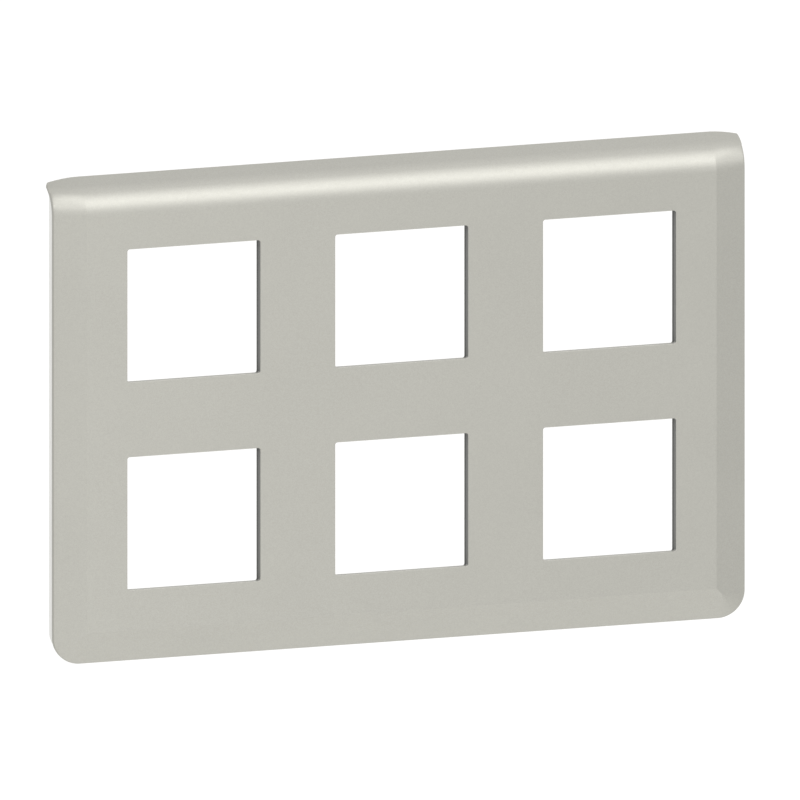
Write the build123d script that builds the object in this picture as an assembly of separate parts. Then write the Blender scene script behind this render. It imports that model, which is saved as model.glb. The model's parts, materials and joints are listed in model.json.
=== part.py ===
"""Cover plate for two rows of three wiring-device openings, as one moulded piece. Millimetres.

The plate stands as it does on a wall: X runs along its width, +Z is up, and it faces -Y.
The wall lies in the plane Y = 0, and the origin is the middle of the window grid on that plane.
"""

import os
from math import cos, hypot, radians, sin, tan

from build123d import *

# Window grid
columns = 3
rows = 2
window_pitch_x = 71.0
window_pitch_z = 71.0
window_width = 45.4
window_height = 46.1
window_corner_radius = 1.2
window_edge_radius = 0.3

# Outline, measured from the middle of the window grid
plate_width = 236.4
reach_below = 82.8
depth = 12.3
lower_corner_radius = 9.2
upper_corner_radius = 3.5
rim_edge_radius = 0.4

# Sheet: flat face, bevels at the sides and the foot, cove along the top
sheet = 1.4
bevel_width = 10.9
bevel_drop = 3.55
cove_start = 70.3
cove_radius = 8.6
cove_angle = 58.0
crown_radius = 22.0
crown_angle = 68.0

# Recessed skirt that meets the wall
skirt_inset = 1.05
skirt_wall = 1.6

# Moulded details behind the face
collar_wall = 1.5
collar_depth = 4.9
rib_wall = 1.2
rib_depth = 4.4
clip_width = 6.0
clip_thickness = 1.5
clip_gap = 2.0
clip_short_of_wall = 1.0
clip_barb = 0.8
clip_barb_length = 2.4

# Worked out from the sizes above
face_y = -depth
half_width = plate_width / 2
bevel_slope = bevel_drop / bevel_width
side_crease_x = half_width - bevel_width
foot_crease_z = bevel_width - reach_below
lower_corner_x = half_width - lower_corner_radius
lower_corner_z = lower_corner_radius - reach_below
window_x = [(i - (columns - 1) / 2) * window_pitch_x for i in range(columns)]
window_z = [(j - (rows - 1) / 2) * window_pitch_z for j in range(rows)]
window_centres = [(x, z) for z in window_z for x in window_x]

# How far cutting shapes run past the plate, and how close counts as touching
overrun = 20.0
near = 0.01


def cove_points(inset):
    """Corners and arc middles of the cove, from face to wall, moved inwards by inset."""
    def on_arc(centre, radius, angle):
        return (centre[0] - radius * cos(radians(angle)), centre[1] + radius * sin(radians(angle)))

    lower_centre = (face_y + cove_radius, cove_start)
    lower_radius = cove_radius - inset
    spread = crown_radius - cove_radius
    upper_centre = (
        lower_centre[0] + spread * cos(radians(cove_angle)),
        lower_centre[1] - spread * sin(radians(cove_angle)),
    )
    upper_radius = crown_radius - inset
    middle_angle = (cove_angle + crown_angle) / 2
    crown_end = on_arc(upper_centre, upper_radius, crown_angle)
    wall_end = (0.0, crown_end[1] - crown_end[0] / tan(radians(crown_angle)))
    return {
        "start": on_arc(lower_centre, lower_radius, 0),
        "lower_middle": on_arc(lower_centre, lower_radius, cove_angle / 2),
        "join": on_arc(lower_centre, lower_radius, cove_angle),
        "upper_middle": on_arc(upper_centre, upper_radius, middle_angle),
        "crown_end": crown_end,
        "wall_end": wall_end,
    }


top_z = cove_points(0.0)["wall_end"][1]


def upright_section(inset):
    """Section across the plate in the YZ plane, filled back to the wall plane."""
    cove = cove_points(inset)
    bottom = -reach_below - overrun
    with BuildSketch(Plane.YZ) as section:
        with BuildLine():
            Line((0, bottom), (face_y + inset, bottom))
            Line((face_y + inset, bottom), cove["start"])
            ThreePointArc(cove["start"], cove["lower_middle"], cove["join"])
            ThreePointArc(cove["join"], cove["upper_middle"], cove["crown_end"])
            Line(cove["crown_end"], cove["wall_end"])
            Line(cove["wall_end"], (0, bottom))
        make_face()
    return section.sketch


def foot_wedge(inset):
    """What the foot bevel takes off, along the whole width."""
    low = -reach_below - overrun
    front = face_y + inset
    back = front + (foot_crease_z - low) * bevel_slope
    with BuildSketch(Plane.YZ) as wedge:
        with BuildLine():
            Polyline(
                (front, foot_crease_z),
                (back, low),
                (front - overrun, low),
                (front - overrun, foot_crease_z),
                close=True,
            )
        make_face()
    return extrude(wedge.sketch, amount=half_width + overrun, both=True)


def corner_cutter(inset, side):
    """What turns the mitre of the bevels into a cone round a lower corner: side is -1 left, +1 right."""
    reach = lower_corner_radius + overrun
    tip_y = face_y + inset + (bevel_width - lower_corner_radius) * bevel_slope
    base_y = tip_y + reach * bevel_slope
    height = base_y - face_y + overrun
    middle = (side * (lower_corner_x + reach / 2), base_y - height / 2, lower_corner_z - reach / 2)
    quadrant = Pos(*middle) * Box(reach, height, reach)
    tip = Plane(origin=(side * lower_corner_x, tip_y, lower_corner_z), z_dir=(0, 1, 0))
    return quadrant - Solid.make_cone(0, reach, base_y - tip_y, tip)


def formed_block(inset):
    """The plate's outer form, filled: face, cove and bevels, running past the outline."""
    section = upright_section(inset)
    block = extrude(section, amount=side_crease_x, both=True)
    run = bevel_width + overrun
    for side in (-1, 1):
        lean = Vector(side * run, run * bevel_slope, 0)
        block += extrude(Pos(side * side_crease_x, 0, 0) * section, amount=lean.length, dir=lean.normalized())
    return block - foot_wedge(inset) - corner_cutter(inset, -1) - corner_cutter(inset, 1)


def outline_block(inset):
    """Prism over the plate's front outline, moved inwards by inset, from face to wall."""
    bottom = inset - reach_below
    top = top_z - inset
    with BuildSketch(Plane.XZ) as outline:
        with Locations((0, (bottom + top) / 2)):
            Rectangle(plate_width - 2 * inset, top - bottom)
        lower = outline.vertices().sort_by(Axis.Y)[:2]
        fillet(lower, lower_corner_radius - inset)
        upper = outline.vertices().sort_by(Axis.Y)[-2:]
        fillet(upper, upper_corner_radius - inset)
    return extrude(outline.sketch, amount=depth)


def rim_edges(solid):
    """Edges where the formed front meets the outline's sides, foot and lower corners."""
    def on_outline(point):
        past_x = abs(point.X) - lower_corner_x
        past_z = lower_corner_z - point.Z
        if past_x > 0 and past_z > 0:
            return abs(hypot(past_x, past_z) - lower_corner_radius) < near
        return abs(past_x - lower_corner_radius) < near or abs(past_z - lower_corner_radius) < near

    def along_rim(edge):
        start, middle, end = edge @ 0.0, edge @ 0.5, edge @ 1.0
        runs_to_wall = hypot(end.X - start.X, end.Z - start.Z) < near
        lies_on_wall = abs(middle.Y) < near
        return all(on_outline(p) for p in (start, middle, end)) and not (runs_to_wall or lies_on_wall)

    return [edge for edge in solid.edges() if along_rim(edge)]


def window_prism(margin, y_front, y_back):
    """Prisms over all windows, each side moved outwards by margin."""
    with BuildSketch(Plane.XZ) as openings:
        with Locations(*window_centres):
            RectangleRounded(
                window_width + 2 * margin, window_height + 2 * margin, window_corner_radius + margin
            )
    return Pos(0, y_back, 0) * extrude(openings.sketch, amount=y_back - y_front)


def ribs():
    """Stiffening ribs between the window collars and out to the skirt."""
    upright = Rectangle(rib_wall, 2 * (reach_below + cove_start))
    level = Rectangle(plate_width, rib_wall)
    lines = Sketch()
    for x in window_x:
        lines += Pos(x, 0) * upright
    for x in window_x[:-1]:
        lines += Pos(x + window_pitch_x / 2, 0) * upright
    for z in window_z:
        lines += Pos(0, z) * level
    for z in window_z[:-1]:
        lines += Pos(0, z + window_pitch_z / 2) * level
    return Pos(0, face_y + rib_depth, 0) * extrude(Plane.XZ * lines, amount=rib_depth)


def clip_leg(outward):
    """One snap leg, with its barb turned outward from its window: +1 is up, -1 is down."""
    root = face_y
    tip = -clip_short_of_wall
    thick = clip_thickness * outward
    barb = (clip_thickness + clip_barb) * outward
    with BuildSketch(Plane.YZ) as leg:
        with BuildLine():
            Polyline(
                (root, 0),
                (tip, 0),
                (tip, thick),
                (tip - clip_barb_length, barb),
                (tip - clip_barb_length, thick),
                (root, thick),
                close=True,
            )
        make_face()
    return extrude(leg.sketch, amount=clip_width / 2, both=True)


def clip_legs():
    """A snap leg above and below every window."""
    away = window_height / 2 + collar_wall + clip_gap
    legs = Part()
    for x, z in window_centres:
        for outward in (-1, 1):
            legs += Pos(x, 0, z + outward * away) * clip_leg(outward)
    return legs


def window_edges(solid):
    """Front edges of the windows."""
    def on_window(edge):
        middle = edge @ 0.5
        return any(
            abs(middle.X - x) < window_width / 2 + near and abs(middle.Z - z) < window_height / 2 + near
            for x, z in window_centres
        )

    front = solid.edges().filter_by_position(Axis.Y, face_y - near, face_y + near)
    return [edge for edge in front if on_window(edge)]


def cover_plate():
    """The whole plate: formed sheet, with its skirt, collars, ribs and legs, and the windows cut."""
    form = formed_block(0.0) & outline_block(0.0)
    form = fillet(rim_edges(form), rim_edge_radius)
    shell = form - formed_block(sheet)
    skirt = outline_block(skirt_inset) - outline_block(skirt_inset + skirt_wall)
    collars = window_prism(collar_wall, face_y, face_y + collar_depth)
    backing = (skirt + collars + ribs() + clip_legs()) & form
    shell += backing
    shell -= window_prism(0.0, face_y - overrun, overrun)
    return fillet(window_edges(shell), window_edge_radius)


os.makedirs("parts", exist_ok=True)
plate = cover_plate()
plate.label = "cover_plate"
export_step(plate, "parts/cover_plate.step")
print("cover_plate", plate.bounding_box(), round(plate.volume, 1), len(plate.solids()), plate.is_valid)
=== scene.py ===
"""The cover plate's looks: one moulded plate with six windows, lacquered in front and bare behind."""

import json
import math

import bmesh
import bpy
from mathutils import Matrix, Vector

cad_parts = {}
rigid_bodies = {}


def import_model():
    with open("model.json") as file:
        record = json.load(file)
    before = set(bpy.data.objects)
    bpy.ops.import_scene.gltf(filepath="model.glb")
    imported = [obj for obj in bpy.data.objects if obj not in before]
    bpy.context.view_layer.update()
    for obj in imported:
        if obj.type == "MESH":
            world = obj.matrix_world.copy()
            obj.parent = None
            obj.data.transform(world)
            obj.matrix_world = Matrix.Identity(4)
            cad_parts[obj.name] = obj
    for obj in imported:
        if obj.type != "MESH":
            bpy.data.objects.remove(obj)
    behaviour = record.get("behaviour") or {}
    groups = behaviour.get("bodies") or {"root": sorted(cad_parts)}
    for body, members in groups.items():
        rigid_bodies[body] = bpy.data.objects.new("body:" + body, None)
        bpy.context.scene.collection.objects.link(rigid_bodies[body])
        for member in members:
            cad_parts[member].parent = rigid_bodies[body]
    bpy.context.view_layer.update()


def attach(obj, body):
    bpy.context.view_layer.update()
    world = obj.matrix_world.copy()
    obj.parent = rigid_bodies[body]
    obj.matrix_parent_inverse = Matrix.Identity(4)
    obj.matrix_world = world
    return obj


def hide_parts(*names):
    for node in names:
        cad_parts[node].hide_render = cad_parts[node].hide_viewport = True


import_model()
for unwanted in [o for o in bpy.data.objects if o.name in ("Cube", "Light", "Camera")]:
    bpy.data.objects.remove(unwanted)

# Sheet: the plate's face with its side and bottom bevels and the cove along its top.
# The real one is injection moulded in pale plastic, with an even wall, and lacquered from the front.
# It starts here as a filled block, trimmed to the plate's outline, and is then hollowed from behind.
MM = 0.001
PLATE_WIDTH = 236.4 * MM
REACH_BELOW = 82.8 * MM
PLATE_DEPTH = 12.3 * MM
SHEET = 1.4 * MM
SIDE_BEVEL = 10.65 * MM
FOOT_BEVEL = 11.2 * MM
BEVEL_DROP = 3.55 * MM
COVE_START = 70.3 * MM
COVE_RADIUS = 8.6 * MM
COVE_ANGLE = math.radians(58)
CROWN_RADIUS = 22.0 * MM
CROWN_ANGLE = math.radians(68)
LOWER_CORNER = 9.2 * MM
UPPER_CORNER = 2.8 * MM
LEAST_CORNER = 0.3 * MM
CURVED_FROM = math.radians(22)
CROWN_CURVE = 1.9
COVE_STEPS = 24
CROWN_STEPS = 6
BEVEL_SHARES = [0.0, 0.12, 0.3, 0.5, 0.7, 0.9]
RIM_ROUNDING = 0.4 * MM
RIM_STEPS = 5
ROUNDED_UP_TO = 77.8 * MM
# Slightly under full lacquer, so the rim's side takes a trace of the dark mist tone as painted shade.
RIM_SPRAY_AND_SHADE = 0.93
FAN_STEPS = 20
TOGETHER = 0.002 * MM  # points nearer than this are joined
ABOVE_TOP = 0.02 * MM  # how far the outline's prisms reach over the top edge
IN_FRONT = 1 * MM  # how far before the face the cutting shapes begin
PAST = 10 * MM  # how far blocks and openings run past the rim and the wall plane

HALF_WIDTH = PLATE_WIDTH / 2
FACE_Y = -PLATE_DEPTH
CREASE_X = HALF_WIDTH - SIDE_BEVEL
CREASE_Z = FOOT_BEVEL - REACH_BELOW
TIP_SHARE = 1 - LOWER_CORNER / FOOT_BEVEL
TIP_X = CREASE_X + TIP_SHARE * SIDE_BEVEL
TIP_Z = CREASE_Z - TIP_SHARE * FOOT_BEVEL


def solid(name, points, faces, spray_and_shade=None):
    """A closed mesh object; the last argument gives each face's share of lacquer from its normal, which on
    the windows' side walls also sets their painted shade.
    """
    mesh = bpy.data.meshes.new(name)
    mesh.from_pydata(points, [], faces)
    shape = bmesh.new()
    shape.from_mesh(mesh)
    bmesh.ops.recalc_face_normals(shape, faces=shape.faces)
    share = shape.faces.layers.float.new("spray_and_shade")
    for face in shape.faces:
        face.normal_update()
        face[share] = spray_and_shade(face.normal) if spray_and_shade else 0.0
    shape.to_mesh(mesh)
    shape.free()
    made = bpy.data.objects.new(name, mesh)
    bpy.context.scene.collection.objects.link(made)
    return made


def stacked(name, rings, spray_and_shade=None):
    """A solid through rings of points, closed at its first and last ring."""
    count = len(rings[0])
    faces = [list(range(count)), [count * (len(rings) - 1) + i for i in range(count)]]
    for r in range(len(rings) - 1):
        for i in range(count):
            j = (i + 1) % count
            faces.append([r * count + i, r * count + j, (r + 1) * count + j, (r + 1) * count + i])
    return solid(name, [p for ring in rings for p in ring], faces, spray_and_shade)


def settled(obj):
    """Turns what the modifiers of an object make into its own plain mesh."""
    view = bpy.context.evaluated_depsgraph_get()
    mesh = bpy.data.meshes.new_from_object(obj.evaluated_get(view))
    obj.modifiers.clear()
    obj.data = mesh
    return obj


def cut(obj, operation, tool):
    """Trims or hollows an object with a tool, takes the tool away and joins points that fall together."""
    modifier = obj.modifiers.new(tool.name, "BOOLEAN")
    modifier.operation = operation
    modifier.solver = "EXACT"
    modifier.object = tool
    settled(obj)
    bpy.data.objects.remove(tool)
    shape = bmesh.new()
    shape.from_mesh(obj.data)
    bmesh.ops.remove_doubles(shape, verts=shape.verts, dist=TOGETHER)
    shape.to_mesh(obj.data)
    shape.free()
    return obj


def set_back(share, angle):
    """How far the side bevel lies back at a share of its width, curved over the crown."""
    curved = share ** CROWN_CURVE if share < 1 else 1 + CROWN_CURVE * (share - 1)
    turned = min(1.0, max(0.0, (angle - CURVED_FROM) / (CROWN_ANGLE - CURVED_FROM)))
    turned = turned * turned * (3 - 2 * turned)
    return BEVEL_DROP * (share + turned * (curved - share))


def cove_line(inset, share):
    """The section from the flat face over the cove, as (y, z), at a share of the side bevel's width."""
    centre_y, centre_z = FACE_Y + COVE_RADIUS, COVE_START
    spread = CROWN_RADIUS - COVE_RADIUS
    crown_y = centre_y + spread * math.cos(COVE_ANGLE)
    crown_z = centre_z - spread * math.sin(COVE_ANGLE)
    line = []
    for i in range(COVE_STEPS + 1):
        angle = COVE_ANGLE * i / COVE_STEPS
        radius = COVE_RADIUS - inset
        y = centre_y - radius * math.cos(angle) + set_back(share, angle)
        line.append((y, centre_z + radius * math.sin(angle)))
    for i in range(1, CROWN_STEPS + 1):
        angle = COVE_ANGLE + (CROWN_ANGLE - COVE_ANGLE) * i / CROWN_STEPS
        radius = CROWN_RADIUS - inset
        y = crown_y - radius * math.cos(angle) + set_back(share, angle)
        line.append((y, crown_z + radius * math.sin(angle)))
    y, z = line[-1]
    line.append((PAST, z + (PAST - y) / math.tan(CROWN_ANGLE)))
    return line


def formed(name, inset, spray_and_shade=None):
    """The plate's outer form moved inwards, a block that runs past the outline and the wall plane.

    At each lower corner the bevels meet in a short mitre, from which a cone fans out to the round rim.
    """
    front = FACE_Y + inset
    points = []

    def put(x, y, z):
        points.append((x, y, z))
        return len(points) - 1

    far_share = 1 + PAST / SIDE_BEVEL
    fan_reach = (far_share - TIP_SHARE) / (1 - TIP_SHARE)
    shares = BEVEL_SHARES + [far_share]
    cove = []
    for side, share in [(-1, s) for s in shares[::-1]] + [(1, s) for s in shares]:
        x = side * (CREASE_X + share * SIDE_BEVEL)
        cove.append([put(x, y, z) for y, z in cove_line(inset, share)])
    crease, tip, fan, behind = {}, {}, {}, {}
    for side in (-1, 1):
        crease[side] = put(side * CREASE_X, front, CREASE_Z)
        peak = Vector((side * TIP_X, front + TIP_SHARE * BEVEL_DROP, TIP_Z))
        tip[side] = put(*peak)
        fan[side], behind[side] = [], []
        for i in range(FAN_STEPS + 1):
            angle = math.radians(90 * i / FAN_STEPS)
            rim = Vector((
                side * (HALF_WIDTH - LOWER_CORNER * (1 - math.cos(angle))),
                front + BEVEL_DROP,
                LOWER_CORNER * (1 - math.sin(angle)) - REACH_BELOW,
            ))
            far = peak + fan_reach * (rim - peak)
            fan[side].append(put(*far))
            behind[side].append(put(far.x, PAST, far.z))
    faces = []
    for one, other in zip(cove, cove[1:]):
        for k in range(len(one) - 1):
            if COVE_ANGLE * (k + 1) / COVE_STEPS > CURVED_FROM:
                faces.append([one[k], one[k + 1], other[k]])
                faces.append([one[k + 1], other[k + 1], other[k]])
            else:
                faces.append([one[k], one[k + 1], other[k + 1], other[k]])
    middle = len(shares)
    faces.append([crease[-1], crease[1], cove[middle][0], cove[middle - 1][0]])
    faces.append([crease[-1], tip[-1], fan[-1][-1], fan[1][-1], tip[1], crease[1]])
    faces.append([fan[-1][-1], behind[-1][-1], behind[1][-1], fan[1][-1]])
    for side, lines in ((-1, cove[:middle]), (1, cove[middle:][::-1])):
        faces.append([crease[side], tip[side], fan[side][0]] + [line[0] for line in lines])
        faces.append([fan[side][0], behind[side][0]] + lines[0][::-1])
        for i in range(FAN_STEPS):
            faces.append([tip[side], fan[side][i], fan[side][i + 1]])
            faces.append([fan[side][i], behind[side][i], behind[side][i + 1], fan[side][i + 1]])
    faces.append(behind[1] + behind[-1][::-1] + [line[-1] for line in cove])
    return solid(name, points, faces, spray_and_shade)


def rounded(left, bottom, right, top, lower_radius, upper_radius, steps):
    """Points round an upright rectangle with round corners, as (x, z)."""
    corners = [
        (right, bottom, -1, 1, lower_radius, -90),
        (right, top, -1, -1, upper_radius, 0),
        (left, top, 1, -1, upper_radius, 90),
        (left, bottom, 1, 1, lower_radius, 180),
    ]
    points = []
    for x, z, inward_x, inward_z, radius, first in corners:
        for i in range(steps + 1):
            angle = math.radians(first + 90 * i / steps)
            points.append((
                x + inward_x * radius + radius * math.cos(angle),
                z + inward_z * radius + radius * math.sin(angle),
            ))
    return points


(near_y, near_z), (far_y, far_z) = cove_line(0.0, 0.0)[-2:]
TOP_Z = near_z - near_y * (far_z - near_z) / (far_y - near_y)


def outline(name, inset, front, spray_and_shade=None):
    """A prism over the plate's outline moved inwards, from a front plane back to the wall plane."""
    points = rounded(
        inset - HALF_WIDTH, inset - REACH_BELOW, HALF_WIDTH - inset, TOP_Z - inset + ABOVE_TOP,
        LOWER_CORNER - inset, max(UPPER_CORNER - inset, LEAST_CORNER), FAN_STEPS,
    )
    return stacked(name, [[(x, y, z) for x, z in points] for y in (front, 0.0)], spray_and_shade)


plate = formed("plate", 0.0, lambda normal: 1.0)
# The rim's outer side takes slightly less lacquer, and with it a trace of the dark mist tone, which is
# painted shade along the edge.
cut(plate, "INTERSECT", outline("trim", 0.0, FACE_Y - IN_FRONT, lambda normal: RIM_SPRAY_AND_SHADE))

# The rim's front edge is rounded along the foot and up the sides, nearly to the top.
UPRIGHT = 0.001
FRONTAL = -0.05

shape = bmesh.new()
shape.from_mesh(plate.data)
rim = []
for edge in shape.edges:
    upright = [f for f in edge.link_faces if abs(f.normal.y) < UPRIGHT]
    frontal = [f for f in edge.link_faces if f.normal.y < FRONTAL]
    low_enough = all(v.co.z < ROUNDED_UP_TO for v in edge.verts)
    if len(upright) == 1 and len(frontal) == 1 and low_enough:
        rim.append(edge)
bmesh.ops.bevel(
    shape, geom=rim, offset=RIM_ROUNDING, offset_type="OFFSET", segments=RIM_STEPS, profile=0.5,
    affect="EDGES", clamp_overlap=False,
)
shape.to_mesh(plate.data)
shape.free()
cut(plate, "DIFFERENCE", formed("hollow", SHEET))

# Windows: six square openings on one grid, each with a collar behind it that guides the device's front.
# Moulded with the plate. At the foot of each, the sheet's edge stands above the collar's floor as a lip.
# The front edges are slightly rounded, and the lacquer's mist reaches in; on the side walls its dark tone
# is painted shade.
PITCH = 71.0 * MM
COLUMNS = 3
ROWS = 2
WINDOW_WIDTH = 45.4 * MM
WINDOW_HEIGHT = 46.1 * MM
LIP_HEIGHT = 0.7 * MM
FLOOR_BEHIND_LIP = 0.35 * MM
LIP_STEP = 0.02 * MM
WINDOW_CORNER = 0.8 * MM
CORNER_STEPS = 12
WINDOW_ROUNDING = 0.15 * MM
ROUNDING_STEPS = 5
COLLAR_WALL = 1.5 * MM
COLLAR_DEPTH = 4.9 * MM
MIST = 0.4
EDGE_CATCH = 4.0


def window_ring(margin, y, lift=0.0):
    """The window's outline moved outwards by a margin, with its floor lifted."""
    half_width, half_height = WINDOW_WIDTH / 2 + margin, WINDOW_HEIGHT / 2 + margin
    corner = WINDOW_CORNER + margin
    points = rounded(-half_width, lift - half_height, half_width, half_height, corner, corner, CORNER_STEPS)
    return [(x, y, z) for x, z in points]


def window_spray_and_shade(normal):
    """The share of lacquer on a wall of the opening, whose normal points into the plastic.

    The spray comes from the front and above: the rounded front edge and the floor are coated, and the side
    walls get mist, whose dark tone is painted shade on the walls that face sideways or down. The lip's back
    is bare.
    """
    if normal.y < -0.5:
        return 0.0
    on_edge = min(1.0, EDGE_CATCH * normal.y)
    # Walls facing sideways or down keep only the mist share and take its painted shade; the floor, facing
    # up, is coated.
    on_floor = MIST + (1 - MIST) * max(0.0, -normal.z) ** 2
    return max(MIST, on_edge, on_floor)


rings = [window_ring(0.0, y, -FLOOR_BEHIND_LIP) for y in (PAST, FACE_Y + SHEET + LIP_STEP)]
rings.append(window_ring(0.0, FACE_Y + SHEET, LIP_HEIGHT))
for i in range(ROUNDING_STEPS + 1):
    turn = math.radians(90 * i / ROUNDING_STEPS)
    margin = WINDOW_ROUNDING * (1 - math.cos(turn))
    rings.append(window_ring(margin, FACE_Y + WINDOW_ROUNDING * (1 - math.sin(turn)), LIP_HEIGHT))
rings.append(window_ring(WINDOW_ROUNDING, FACE_Y - IN_FRONT, LIP_HEIGHT))
opening = stacked("opening", rings, window_spray_and_shade)
collar = stacked("collar", [window_ring(COLLAR_WALL, y) for y in (FACE_Y, FACE_Y + COLLAR_DEPTH)])

# Back: the skirt that meets the wall, thin ribs that stiffen the face, and two snap legs at each window.
# All are part of the same moulding, in the bare plastic, and the legs' barbs catch in the support frame.
SKIRT_INSET = 1.05 * MM
SKIRT_WALL = 1.6 * MM
RIB_WALL = 1.2 * MM
RIB_DEPTH = 4.4 * MM
LEG_WIDTH = 6.0 * MM
LEG_THICKNESS = 1.5 * MM
LEG_GAP = 2.0 * MM
LEG_SHORT_OF_WALL = 1.0 * MM
BARB = 0.8 * MM
BARB_LENGTH = 2.4 * MM

skirt = outline("skirt", SKIRT_INSET, FACE_Y)
cut(skirt, "DIFFERENCE", outline("skirt_room", SKIRT_INSET + SKIRT_WALL, FACE_Y - IN_FRONT))


def leg_blank(name, side):
    """One snap leg at the middle window's height, with its barb turned up (1) or down (-1)."""
    root, tip = FACE_Y, -LEG_SHORT_OF_WALL
    away = WINDOW_HEIGHT / 2 + COLLAR_WALL + LEG_GAP
    section = [
        (root, away),
        (tip, away),
        (tip, away + LEG_THICKNESS),
        (tip - BARB_LENGTH, away + LEG_THICKNESS + BARB),
        (tip - BARB_LENGTH, away + LEG_THICKNESS),
        (root, away + LEG_THICKNESS),
    ]
    sides = (-LEG_WIDTH / 2, LEG_WIDTH / 2)
    return stacked(name, [[(x, y, side * z) for y, z in section] for x in sides])


class Wire:
    """An output of a node, on which sums are written as in Python."""

    def __init__(self, tree, socket):
        self.tree = tree
        self.socket = socket

    def sum(self, operation, first, second):
        return wire(self.tree, "ShaderNodeMath", {"operation": operation}, {0: first, 1: second})

    def __add__(self, other):
        return self.sum("ADD", self, other)

    def __sub__(self, other):
        return self.sum("SUBTRACT", self, other)

    def __rsub__(self, other):
        return self.sum("SUBTRACT", other, self)

    def __mul__(self, other):
        return self.sum("MULTIPLY", self, other)

    def __truediv__(self, other):
        return self.sum("DIVIDE", self, other)

    __radd__ = __add__
    __rmul__ = __mul__


def wire(tree, kind, settings, sockets, output=0):
    """Adds a node to a tree, its settings first and then what goes in, and returns one of its outputs."""
    made = tree.nodes.new(kind)
    for name, value in settings.items():
        setattr(made, name, value)
    for key, value in sockets.items():
        for one in value if isinstance(value, list) else [value]:
            if isinstance(one, Wire):
                tree.links.new(one.socket, made.inputs[key])
            else:
                made.inputs[key].default_value = one
    return Wire(tree, made.outputs[output])


material = bpy.data.materials.new("satin_lacquer")
details = bpy.data.node_groups.new("moulded_details", "GeometryNodeTree")
details.interface.new_socket("Geometry", in_out="OUTPUT", socket_type="NodeSocketGeometry")
sizes = {
    "Geometry": ("Geometry", None),
    "Columns": ("Int", COLUMNS),
    "Rows": ("Int", ROWS),
    "Pitch": ("Float", PITCH),
    "Rib wall": ("Float", RIB_WALL),
    "Rib depth": ("Float", RIB_DEPTH),
    "Face plane": ("Float", FACE_Y),
    "Opening": ("Object", opening),
    "Collar": ("Object", collar),
    "Leg up": ("Object", leg_blank("leg_up", 1)),
    "Leg down": ("Object", leg_blank("leg_down", -1)),
    "Skirt": ("Object", skirt),
    "Middle of sheet": ("Object", formed("middle_of_sheet", SHEET / 2)),
    "Finish": ("Material", material),
}
given = {}
for name, (kind, value) in sizes.items():
    given[name] = details.interface.new_socket(name, in_out="INPUT", socket_type="NodeSocket" + kind)
entry = details.nodes.new("NodeGroupInput")
size = {name: Wire(details, entry.outputs[name]) for name in sizes}

flat_grid = wire(details, "GeometryNodeMeshGrid", {}, {
    "Size X": size["Pitch"] * (size["Columns"] - 1),
    "Size Y": size["Pitch"] * (size["Rows"] - 1),
    "Vertices X": size["Columns"],
    "Vertices Y": size["Rows"],
})
grid = wire(details, "GeometryNodeTransform", {}, {
    "Geometry": flat_grid, "Rotation": (math.radians(90), 0, 0),
})


def placed(blank):
    as_made = {"transform_space": "ORIGINAL"}
    return wire(details, "GeometryNodeObjectInfo", as_made, {"Object": size[blank]}, "Geometry")


def repeated(blank, points):
    """A copy of a blank at every point, as loose geometry."""
    copies = wire(details, "GeometryNodeInstanceOnPoints", {}, {"Points": points, "Instance": blank})
    return wire(details, "GeometryNodeRealizeInstances", {}, {"Geometry": copies})


def on_grid(blank):
    """A blank at the middle of every window."""
    return repeated(placed(blank), grid)


def combined(x, y, z):
    return wire(details, "ShaderNodeCombineXYZ", {}, {"X": x, "Y": y, "Z": z})


def rib_row(count, step, wide, tall):
    """Ribs side by side along a step, between the collars and through the middle of each window."""
    start_x, start_z = (step[0] * (1 - count) / 2, step[1] * (1 - count) / 2)
    rib = wire(details, "GeometryNodeMeshCube", {}, {"Size": combined(wide, size["Rib depth"], tall)})
    line = wire(details, "GeometryNodeMeshLine", {"mode": "OFFSET"}, {
        "Count": count,
        "Start Location": combined(start_x, size["Face plane"] + size["Rib depth"] / 2, start_z),
        "Offset": combined(step[0], 0.0, step[1]),
    })
    return repeated(rib, line)


def boolean(operation, sockets):
    return wire(details, "GeometryNodeMeshBoolean", {"operation": operation, "solver": "EXACT"}, sockets)


half_pitch = size["Pitch"] / 2
level_length = 2 * (HALF_WIDTH - SKIRT_INSET - SKIRT_WALL / 2)
upright_length = 2 * (REACH_BELOW - SKIRT_INSET - SKIRT_WALL / 2)
parts_behind = boolean("UNION", {"Mesh 2": [
    placed("Skirt"), on_grid("Collar"), on_grid("Leg up"), on_grid("Leg down"),
    rib_row(2 * size["Columns"] - 1, (half_pitch, 0.0), size["Rib wall"], upright_length),
    rib_row(2 * size["Rows"] - 1, (0.0, half_pitch), level_length, size["Rib wall"]),
]})
trimmed = boolean("INTERSECT", {"Mesh 2": [parts_behind, placed("Middle of sheet")]})
whole = boolean("UNION", {"Mesh 2": [size["Geometry"], trimmed]})
pierced = boolean("DIFFERENCE", {"Mesh 1": whole, "Mesh 2": on_grid("Opening")})
merged = wire(details, "GeometryNodeMergeByDistance", {}, {"Geometry": pierced, "Distance": TOGETHER / 2})
loose = wire(details, "GeometryNodeRealizeInstances", {}, {"Geometry": merged})
finished = wire(details, "GeometryNodeSetMaterial", {}, {"Geometry": loose, "Material": size["Finish"]})
exit_node = details.nodes.new("NodeGroupOutput")
details.links.new(finished.socket, exit_node.inputs["Geometry"])

modifier = plate.modifiers.new("moulded_details", "NODES")
modifier.node_group = details
for name, (kind, value) in sizes.items():
    if value is not None:
        modifier[given[name].identifier] = value
settled(plate)
for blank in [v for k, v in sizes.values() if k == "Object"]:
    bpy.data.objects.remove(blank)

shape = bmesh.new()
shape.from_mesh(plate.data)
bmesh.ops.delete(shape, geom=[edge for edge in shape.edges if not edge.link_faces], context="EDGES")
shape.to_mesh(plate.data)
shape.free()

SMOOTH_UP_TO = math.radians(19)
CLOSE = 0.01 * MM

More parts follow.
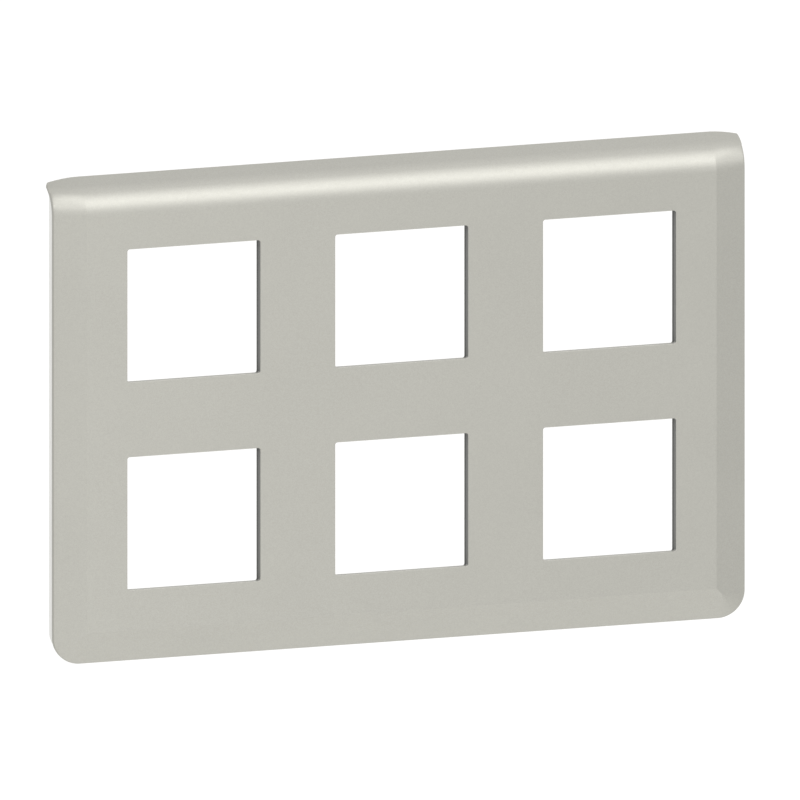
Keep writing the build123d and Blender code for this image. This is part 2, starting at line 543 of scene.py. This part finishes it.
plate.name = plate.data.name = "plate_moulding"
plate.data.shade_smooth()
plate.data.set_sharp_from_angle(angle=SMOOTH_UP_TO)
sharp = plate.data.attributes["sharp_edge"].data
for edge in plate.data.edges:
    ends = [plate.data.vertices[i].co for i in edge.vertices]
    in_crease = all(abs(abs(p.x) - CREASE_X) < CLOSE and p.z < ROUNDED_UP_TO for p in ends)
    from_tip = any(abs(abs(p.x) - TIP_X) < CLOSE and abs(p.z - TIP_Z) < CLOSE for p in ends)
    if in_crease or from_tip:
        sharp[edge.index].value = True
weighting = plate.modifiers.new("even_shading", "WEIGHTED_NORMAL")
weighting.keep_sharp = True
settled(plate)

# Finish: satin lacquer with fine metal flakes, applied as a spray on the front of the bare moulding.
# The spray lies flat on the face and the cove, and ends as a dull mist on the windows' side walls,
# whose dark tone is painted shade that deepens towards the back of the collars.
# Behind, the plastic shows as it left the mould, pale and finely spark-textured.
LACQUER = (0.362, 0.357, 0.327, 1)
# Painted shade: the dark tones of the windows' side walls, near the face and deep in the collars.
SHADED_MIST_NEAR = (0.13, 0.13, 0.124, 1)
SHADED_MIST_DEEP = (0.058, 0.058, 0.055, 1)
BARE = (0.60, 0.60, 0.58, 1)
LACQUER_ROUGHNESS = 0.51
MIST_ROUGHNESS = 0.85
BARE_ROUGHNESS = 0.55
LACQUER_METAL = 0.95
FLAKE_SIZE = 0.22 * MM
FLAKE_TONE = 0.10
FLAKE_HEIGHT = 0.0010 * MM
CLOUD_SIZE = 30 * MM
CLOUD_TONE = 0.05
BARE_CLOUD_TONE = 0.06
PEEL_SIZE = 1.6 * MM
PEEL_HEIGHT = 0.0022 * MM
PEEL_ROUGHNESS = 0.06
SPARK_SIZE = 0.18 * MM
SPARK_TONE = 0.08
SPARK_HEIGHT = 0.012 * MM
# Painted shade: the depths over which the side walls darken, and how ragged that change is.
SHADE_DEEPENS_FROM = 0.45 * COLLAR_DEPTH
SHADE_DEEPEST_AT = 0.65 * COLLAR_DEPTH
SHADE_RAGGEDNESS = 1.2 * MM

material.use_nodes = True
paint = material.node_tree
paint.nodes.clear()


def blended(factor, first, second):
    """One colour where the factor is 0, the other where it is 1."""
    return wire(paint, "ShaderNodeMix", {"data_type": "RGBA"}, {0: factor, 6: first, 7: second}, 2)


def toned(colour, tone):
    return wire(paint, "ShaderNodeVectorMath", {"operation": "SCALE"}, {0: colour[:3], "Scale": tone})


def stepped(value, low, high):
    """0 below low, 1 above high, smooth between."""
    return wire(paint, "ShaderNodeMapRange", {"interpolation_type": "SMOOTHSTEP"}, {
        "Value": value, "From Min": low, "From Max": high,
    })


def noise(grain, detail, roughness=0.5):
    return wire(paint, "ShaderNodeTexNoise", {}, {
        "Vector": here, "Scale": 1 / grain, "Detail": detail, "Roughness": roughness,
    })


here = wire(paint, "ShaderNodeTexCoord", {}, {}, "Object")
depth_here = wire(paint, "ShaderNodeSeparateXYZ", {}, {"Vector": here}, "Y") - FACE_Y
spray_and_shade = wire(paint, "ShaderNodeAttribute", {"attribute_name": "spray_and_shade"}, {}, "Fac")
coated = stepped(spray_and_shade, MIST, 1.0)
misted_and_shaded = stepped(spray_and_shade, 0.0, MIST)
flake_cell = wire(paint, "ShaderNodeTexVoronoi", {}, {"Vector": here, "Scale": 1 / FLAKE_SIZE}, "Color")
flake = wire(paint, "ShaderNodeSeparateColor", {}, {"Color": flake_cell}, 0)
cloud = noise(CLOUD_SIZE, detail=3.0)
peel = noise(PEEL_SIZE, detail=2.0)
spark = noise(SPARK_SIZE, detail=4.0, roughness=0.6)

lacquer = toned(LACQUER, 1.0 + (flake - 0.5) * FLAKE_TONE + (cloud - 0.5) * CLOUD_TONE)
bare = toned(BARE, 1.0 + (spark - 0.5) * SPARK_TONE + (cloud - 0.5) * BARE_CLOUD_TONE)
# Painted shade: the side walls' mist darkens deeper into the collars.
painted_depth_shade = stepped(depth_here + (spark - 0.5) * SHADE_RAGGEDNESS, SHADE_DEEPENS_FROM, SHADE_DEEPEST_AT)
shaded_mist_tone = blended(painted_depth_shade, SHADED_MIST_NEAR, SHADED_MIST_DEEP)
colour = blended(coated, blended(misted_and_shaded, bare, shaded_mist_tone), lacquer)
roughness = (
    BARE_ROUGHNESS + misted_and_shaded * (MIST_ROUGHNESS - BARE_ROUGHNESS)
    + coated * (LACQUER_ROUGHNESS - MIST_ROUGHNESS) + (peel - 0.5) * PEEL_ROUGHNESS
)
height = coated * (peel * PEEL_HEIGHT + flake * FLAKE_HEIGHT) + (1 - coated) * spark * SPARK_HEIGHT
bumped = wire(paint, "ShaderNodeBump", {}, {"Height": height, "Distance": 1.0, "Strength": 1.0}, "Normal")
surface = wire(paint, "ShaderNodeBsdfPrincipled", {}, {
    "Base Color": colour, "Roughness": roughness, "Metallic": coated * LACQUER_METAL, "Normal": bumped,
}, "BSDF")
result = paint.nodes.new("ShaderNodeOutputMaterial")
paint.links.new(surface.socket, result.inputs["Surface"])

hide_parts("cover_plate")
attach(plate, "root")

# Studio: the photograph's view from the left and a little above, without perspective.
# A pale floor lies far below, so that no shadow of the plate falls in view. The light is soft and even.
VIEW_TURN = math.radians(-15.216)
VIEW_RISE = math.radians(15.216)
PICTURE_PIXELS = 800
PIXELS_PER_MM = 3.0334
VIEW_DISTANCE = 2.0
VIEW_FROM = 0.01
VIEW_TO = 50.0
AIM_RIGHT = -0.593 * MM
AIM_UP = 0.491 * MM
FLOOR_SIZE = 14.0
FLOOR_Z = -0.9
FLOOR_PALE = (0.88, 0.88, 0.87, 1)
FLOOR_ROUGHNESS = 0.9
ROOM_WHITE = (1, 1, 1, 1)
ROOM_BRIGHTNESS = 1.15

flat = math.cos(VIEW_RISE)
towards_camera = Vector((math.sin(VIEW_TURN) * flat, -math.cos(VIEW_TURN) * flat, math.sin(VIEW_RISE)))
right = Vector((math.cos(VIEW_TURN), math.sin(VIEW_TURN), 0))
upward = towards_camera.cross(right)
aim = Vector((0, FACE_Y, 0)) + AIM_RIGHT * right + AIM_UP * upward


def add(name, data):
    made = bpy.data.objects.new(name, data)
    bpy.context.scene.collection.objects.link(made)
    return made


camera = add("camera", bpy.data.cameras.new("camera"))
camera.data.type = "ORTHO"
camera.data.ortho_scale = PICTURE_PIXELS / PIXELS_PER_MM * MM
camera.data.clip_start = VIEW_FROM
camera.data.clip_end = VIEW_TO
turned = Matrix((right, upward, towards_camera)).transposed().to_4x4()
camera.matrix_world = Matrix.Translation(aim + VIEW_DISTANCE * towards_camera) @ turned
bpy.context.scene.camera = camera

bpy.ops.mesh.primitive_plane_add(size=FLOOR_SIZE, location=(0, 0, FLOOR_Z))
floor = bpy.context.object
floor.name = "floor"
ground = bpy.data.materials.new("pale_floor")
ground.use_nodes = True
ground_shader = ground.node_tree.nodes["Principled BSDF"]
ground_shader.inputs["Base Color"].default_value = FLOOR_PALE
ground_shader.inputs["Roughness"].default_value = FLOOR_ROUGHNESS
floor.data.materials.append(ground)


def softbox(name, direction, distance, width, height, power):
    """A soft rectangular light that faces the plate from a direction."""
    lamp = add(name, bpy.data.lights.new(name, "AREA"))
    lamp.data.shape = "RECTANGLE"
    lamp.data.size = width
    lamp.data.size_y = height
    lamp.data.energy = power
    away = Vector(direction).normalized()
    lamp.location = distance * away
    lamp.rotation_euler = away.to_track_quat("Z", "Y").to_euler()


softbox("high_softbox", direction=(0.15, -0.65, 0.72), distance=1.6, width=2.8, height=1.15, power=22.2)
softbox("top_softbox", direction=(0.08, -0.17, 0.95), distance=1.6, width=2.4, height=0.8, power=4.1)
softbox("front_panel", direction=(-0.18, -0.96, -0.26), distance=0.9, width=0.45, height=0.8, power=1.13)
softbox("low_panel", direction=(0.25, -0.61, -0.75), distance=0.9, width=0.9, height=0.4, power=0.33)

world = bpy.context.scene.world or bpy.data.worlds.new("room")
bpy.context.scene.world = world
world.use_nodes = True
room_light = world.node_tree.nodes["Background"]
room_light.inputs["Color"].default_value = ROOM_WHITE
room_light.inputs["Strength"].default_value = ROOM_BRIGHTNESS
bpy.context.scene.view_settings.view_transform = "Standard"
bpy.context.scene.view_settings.look = "None"
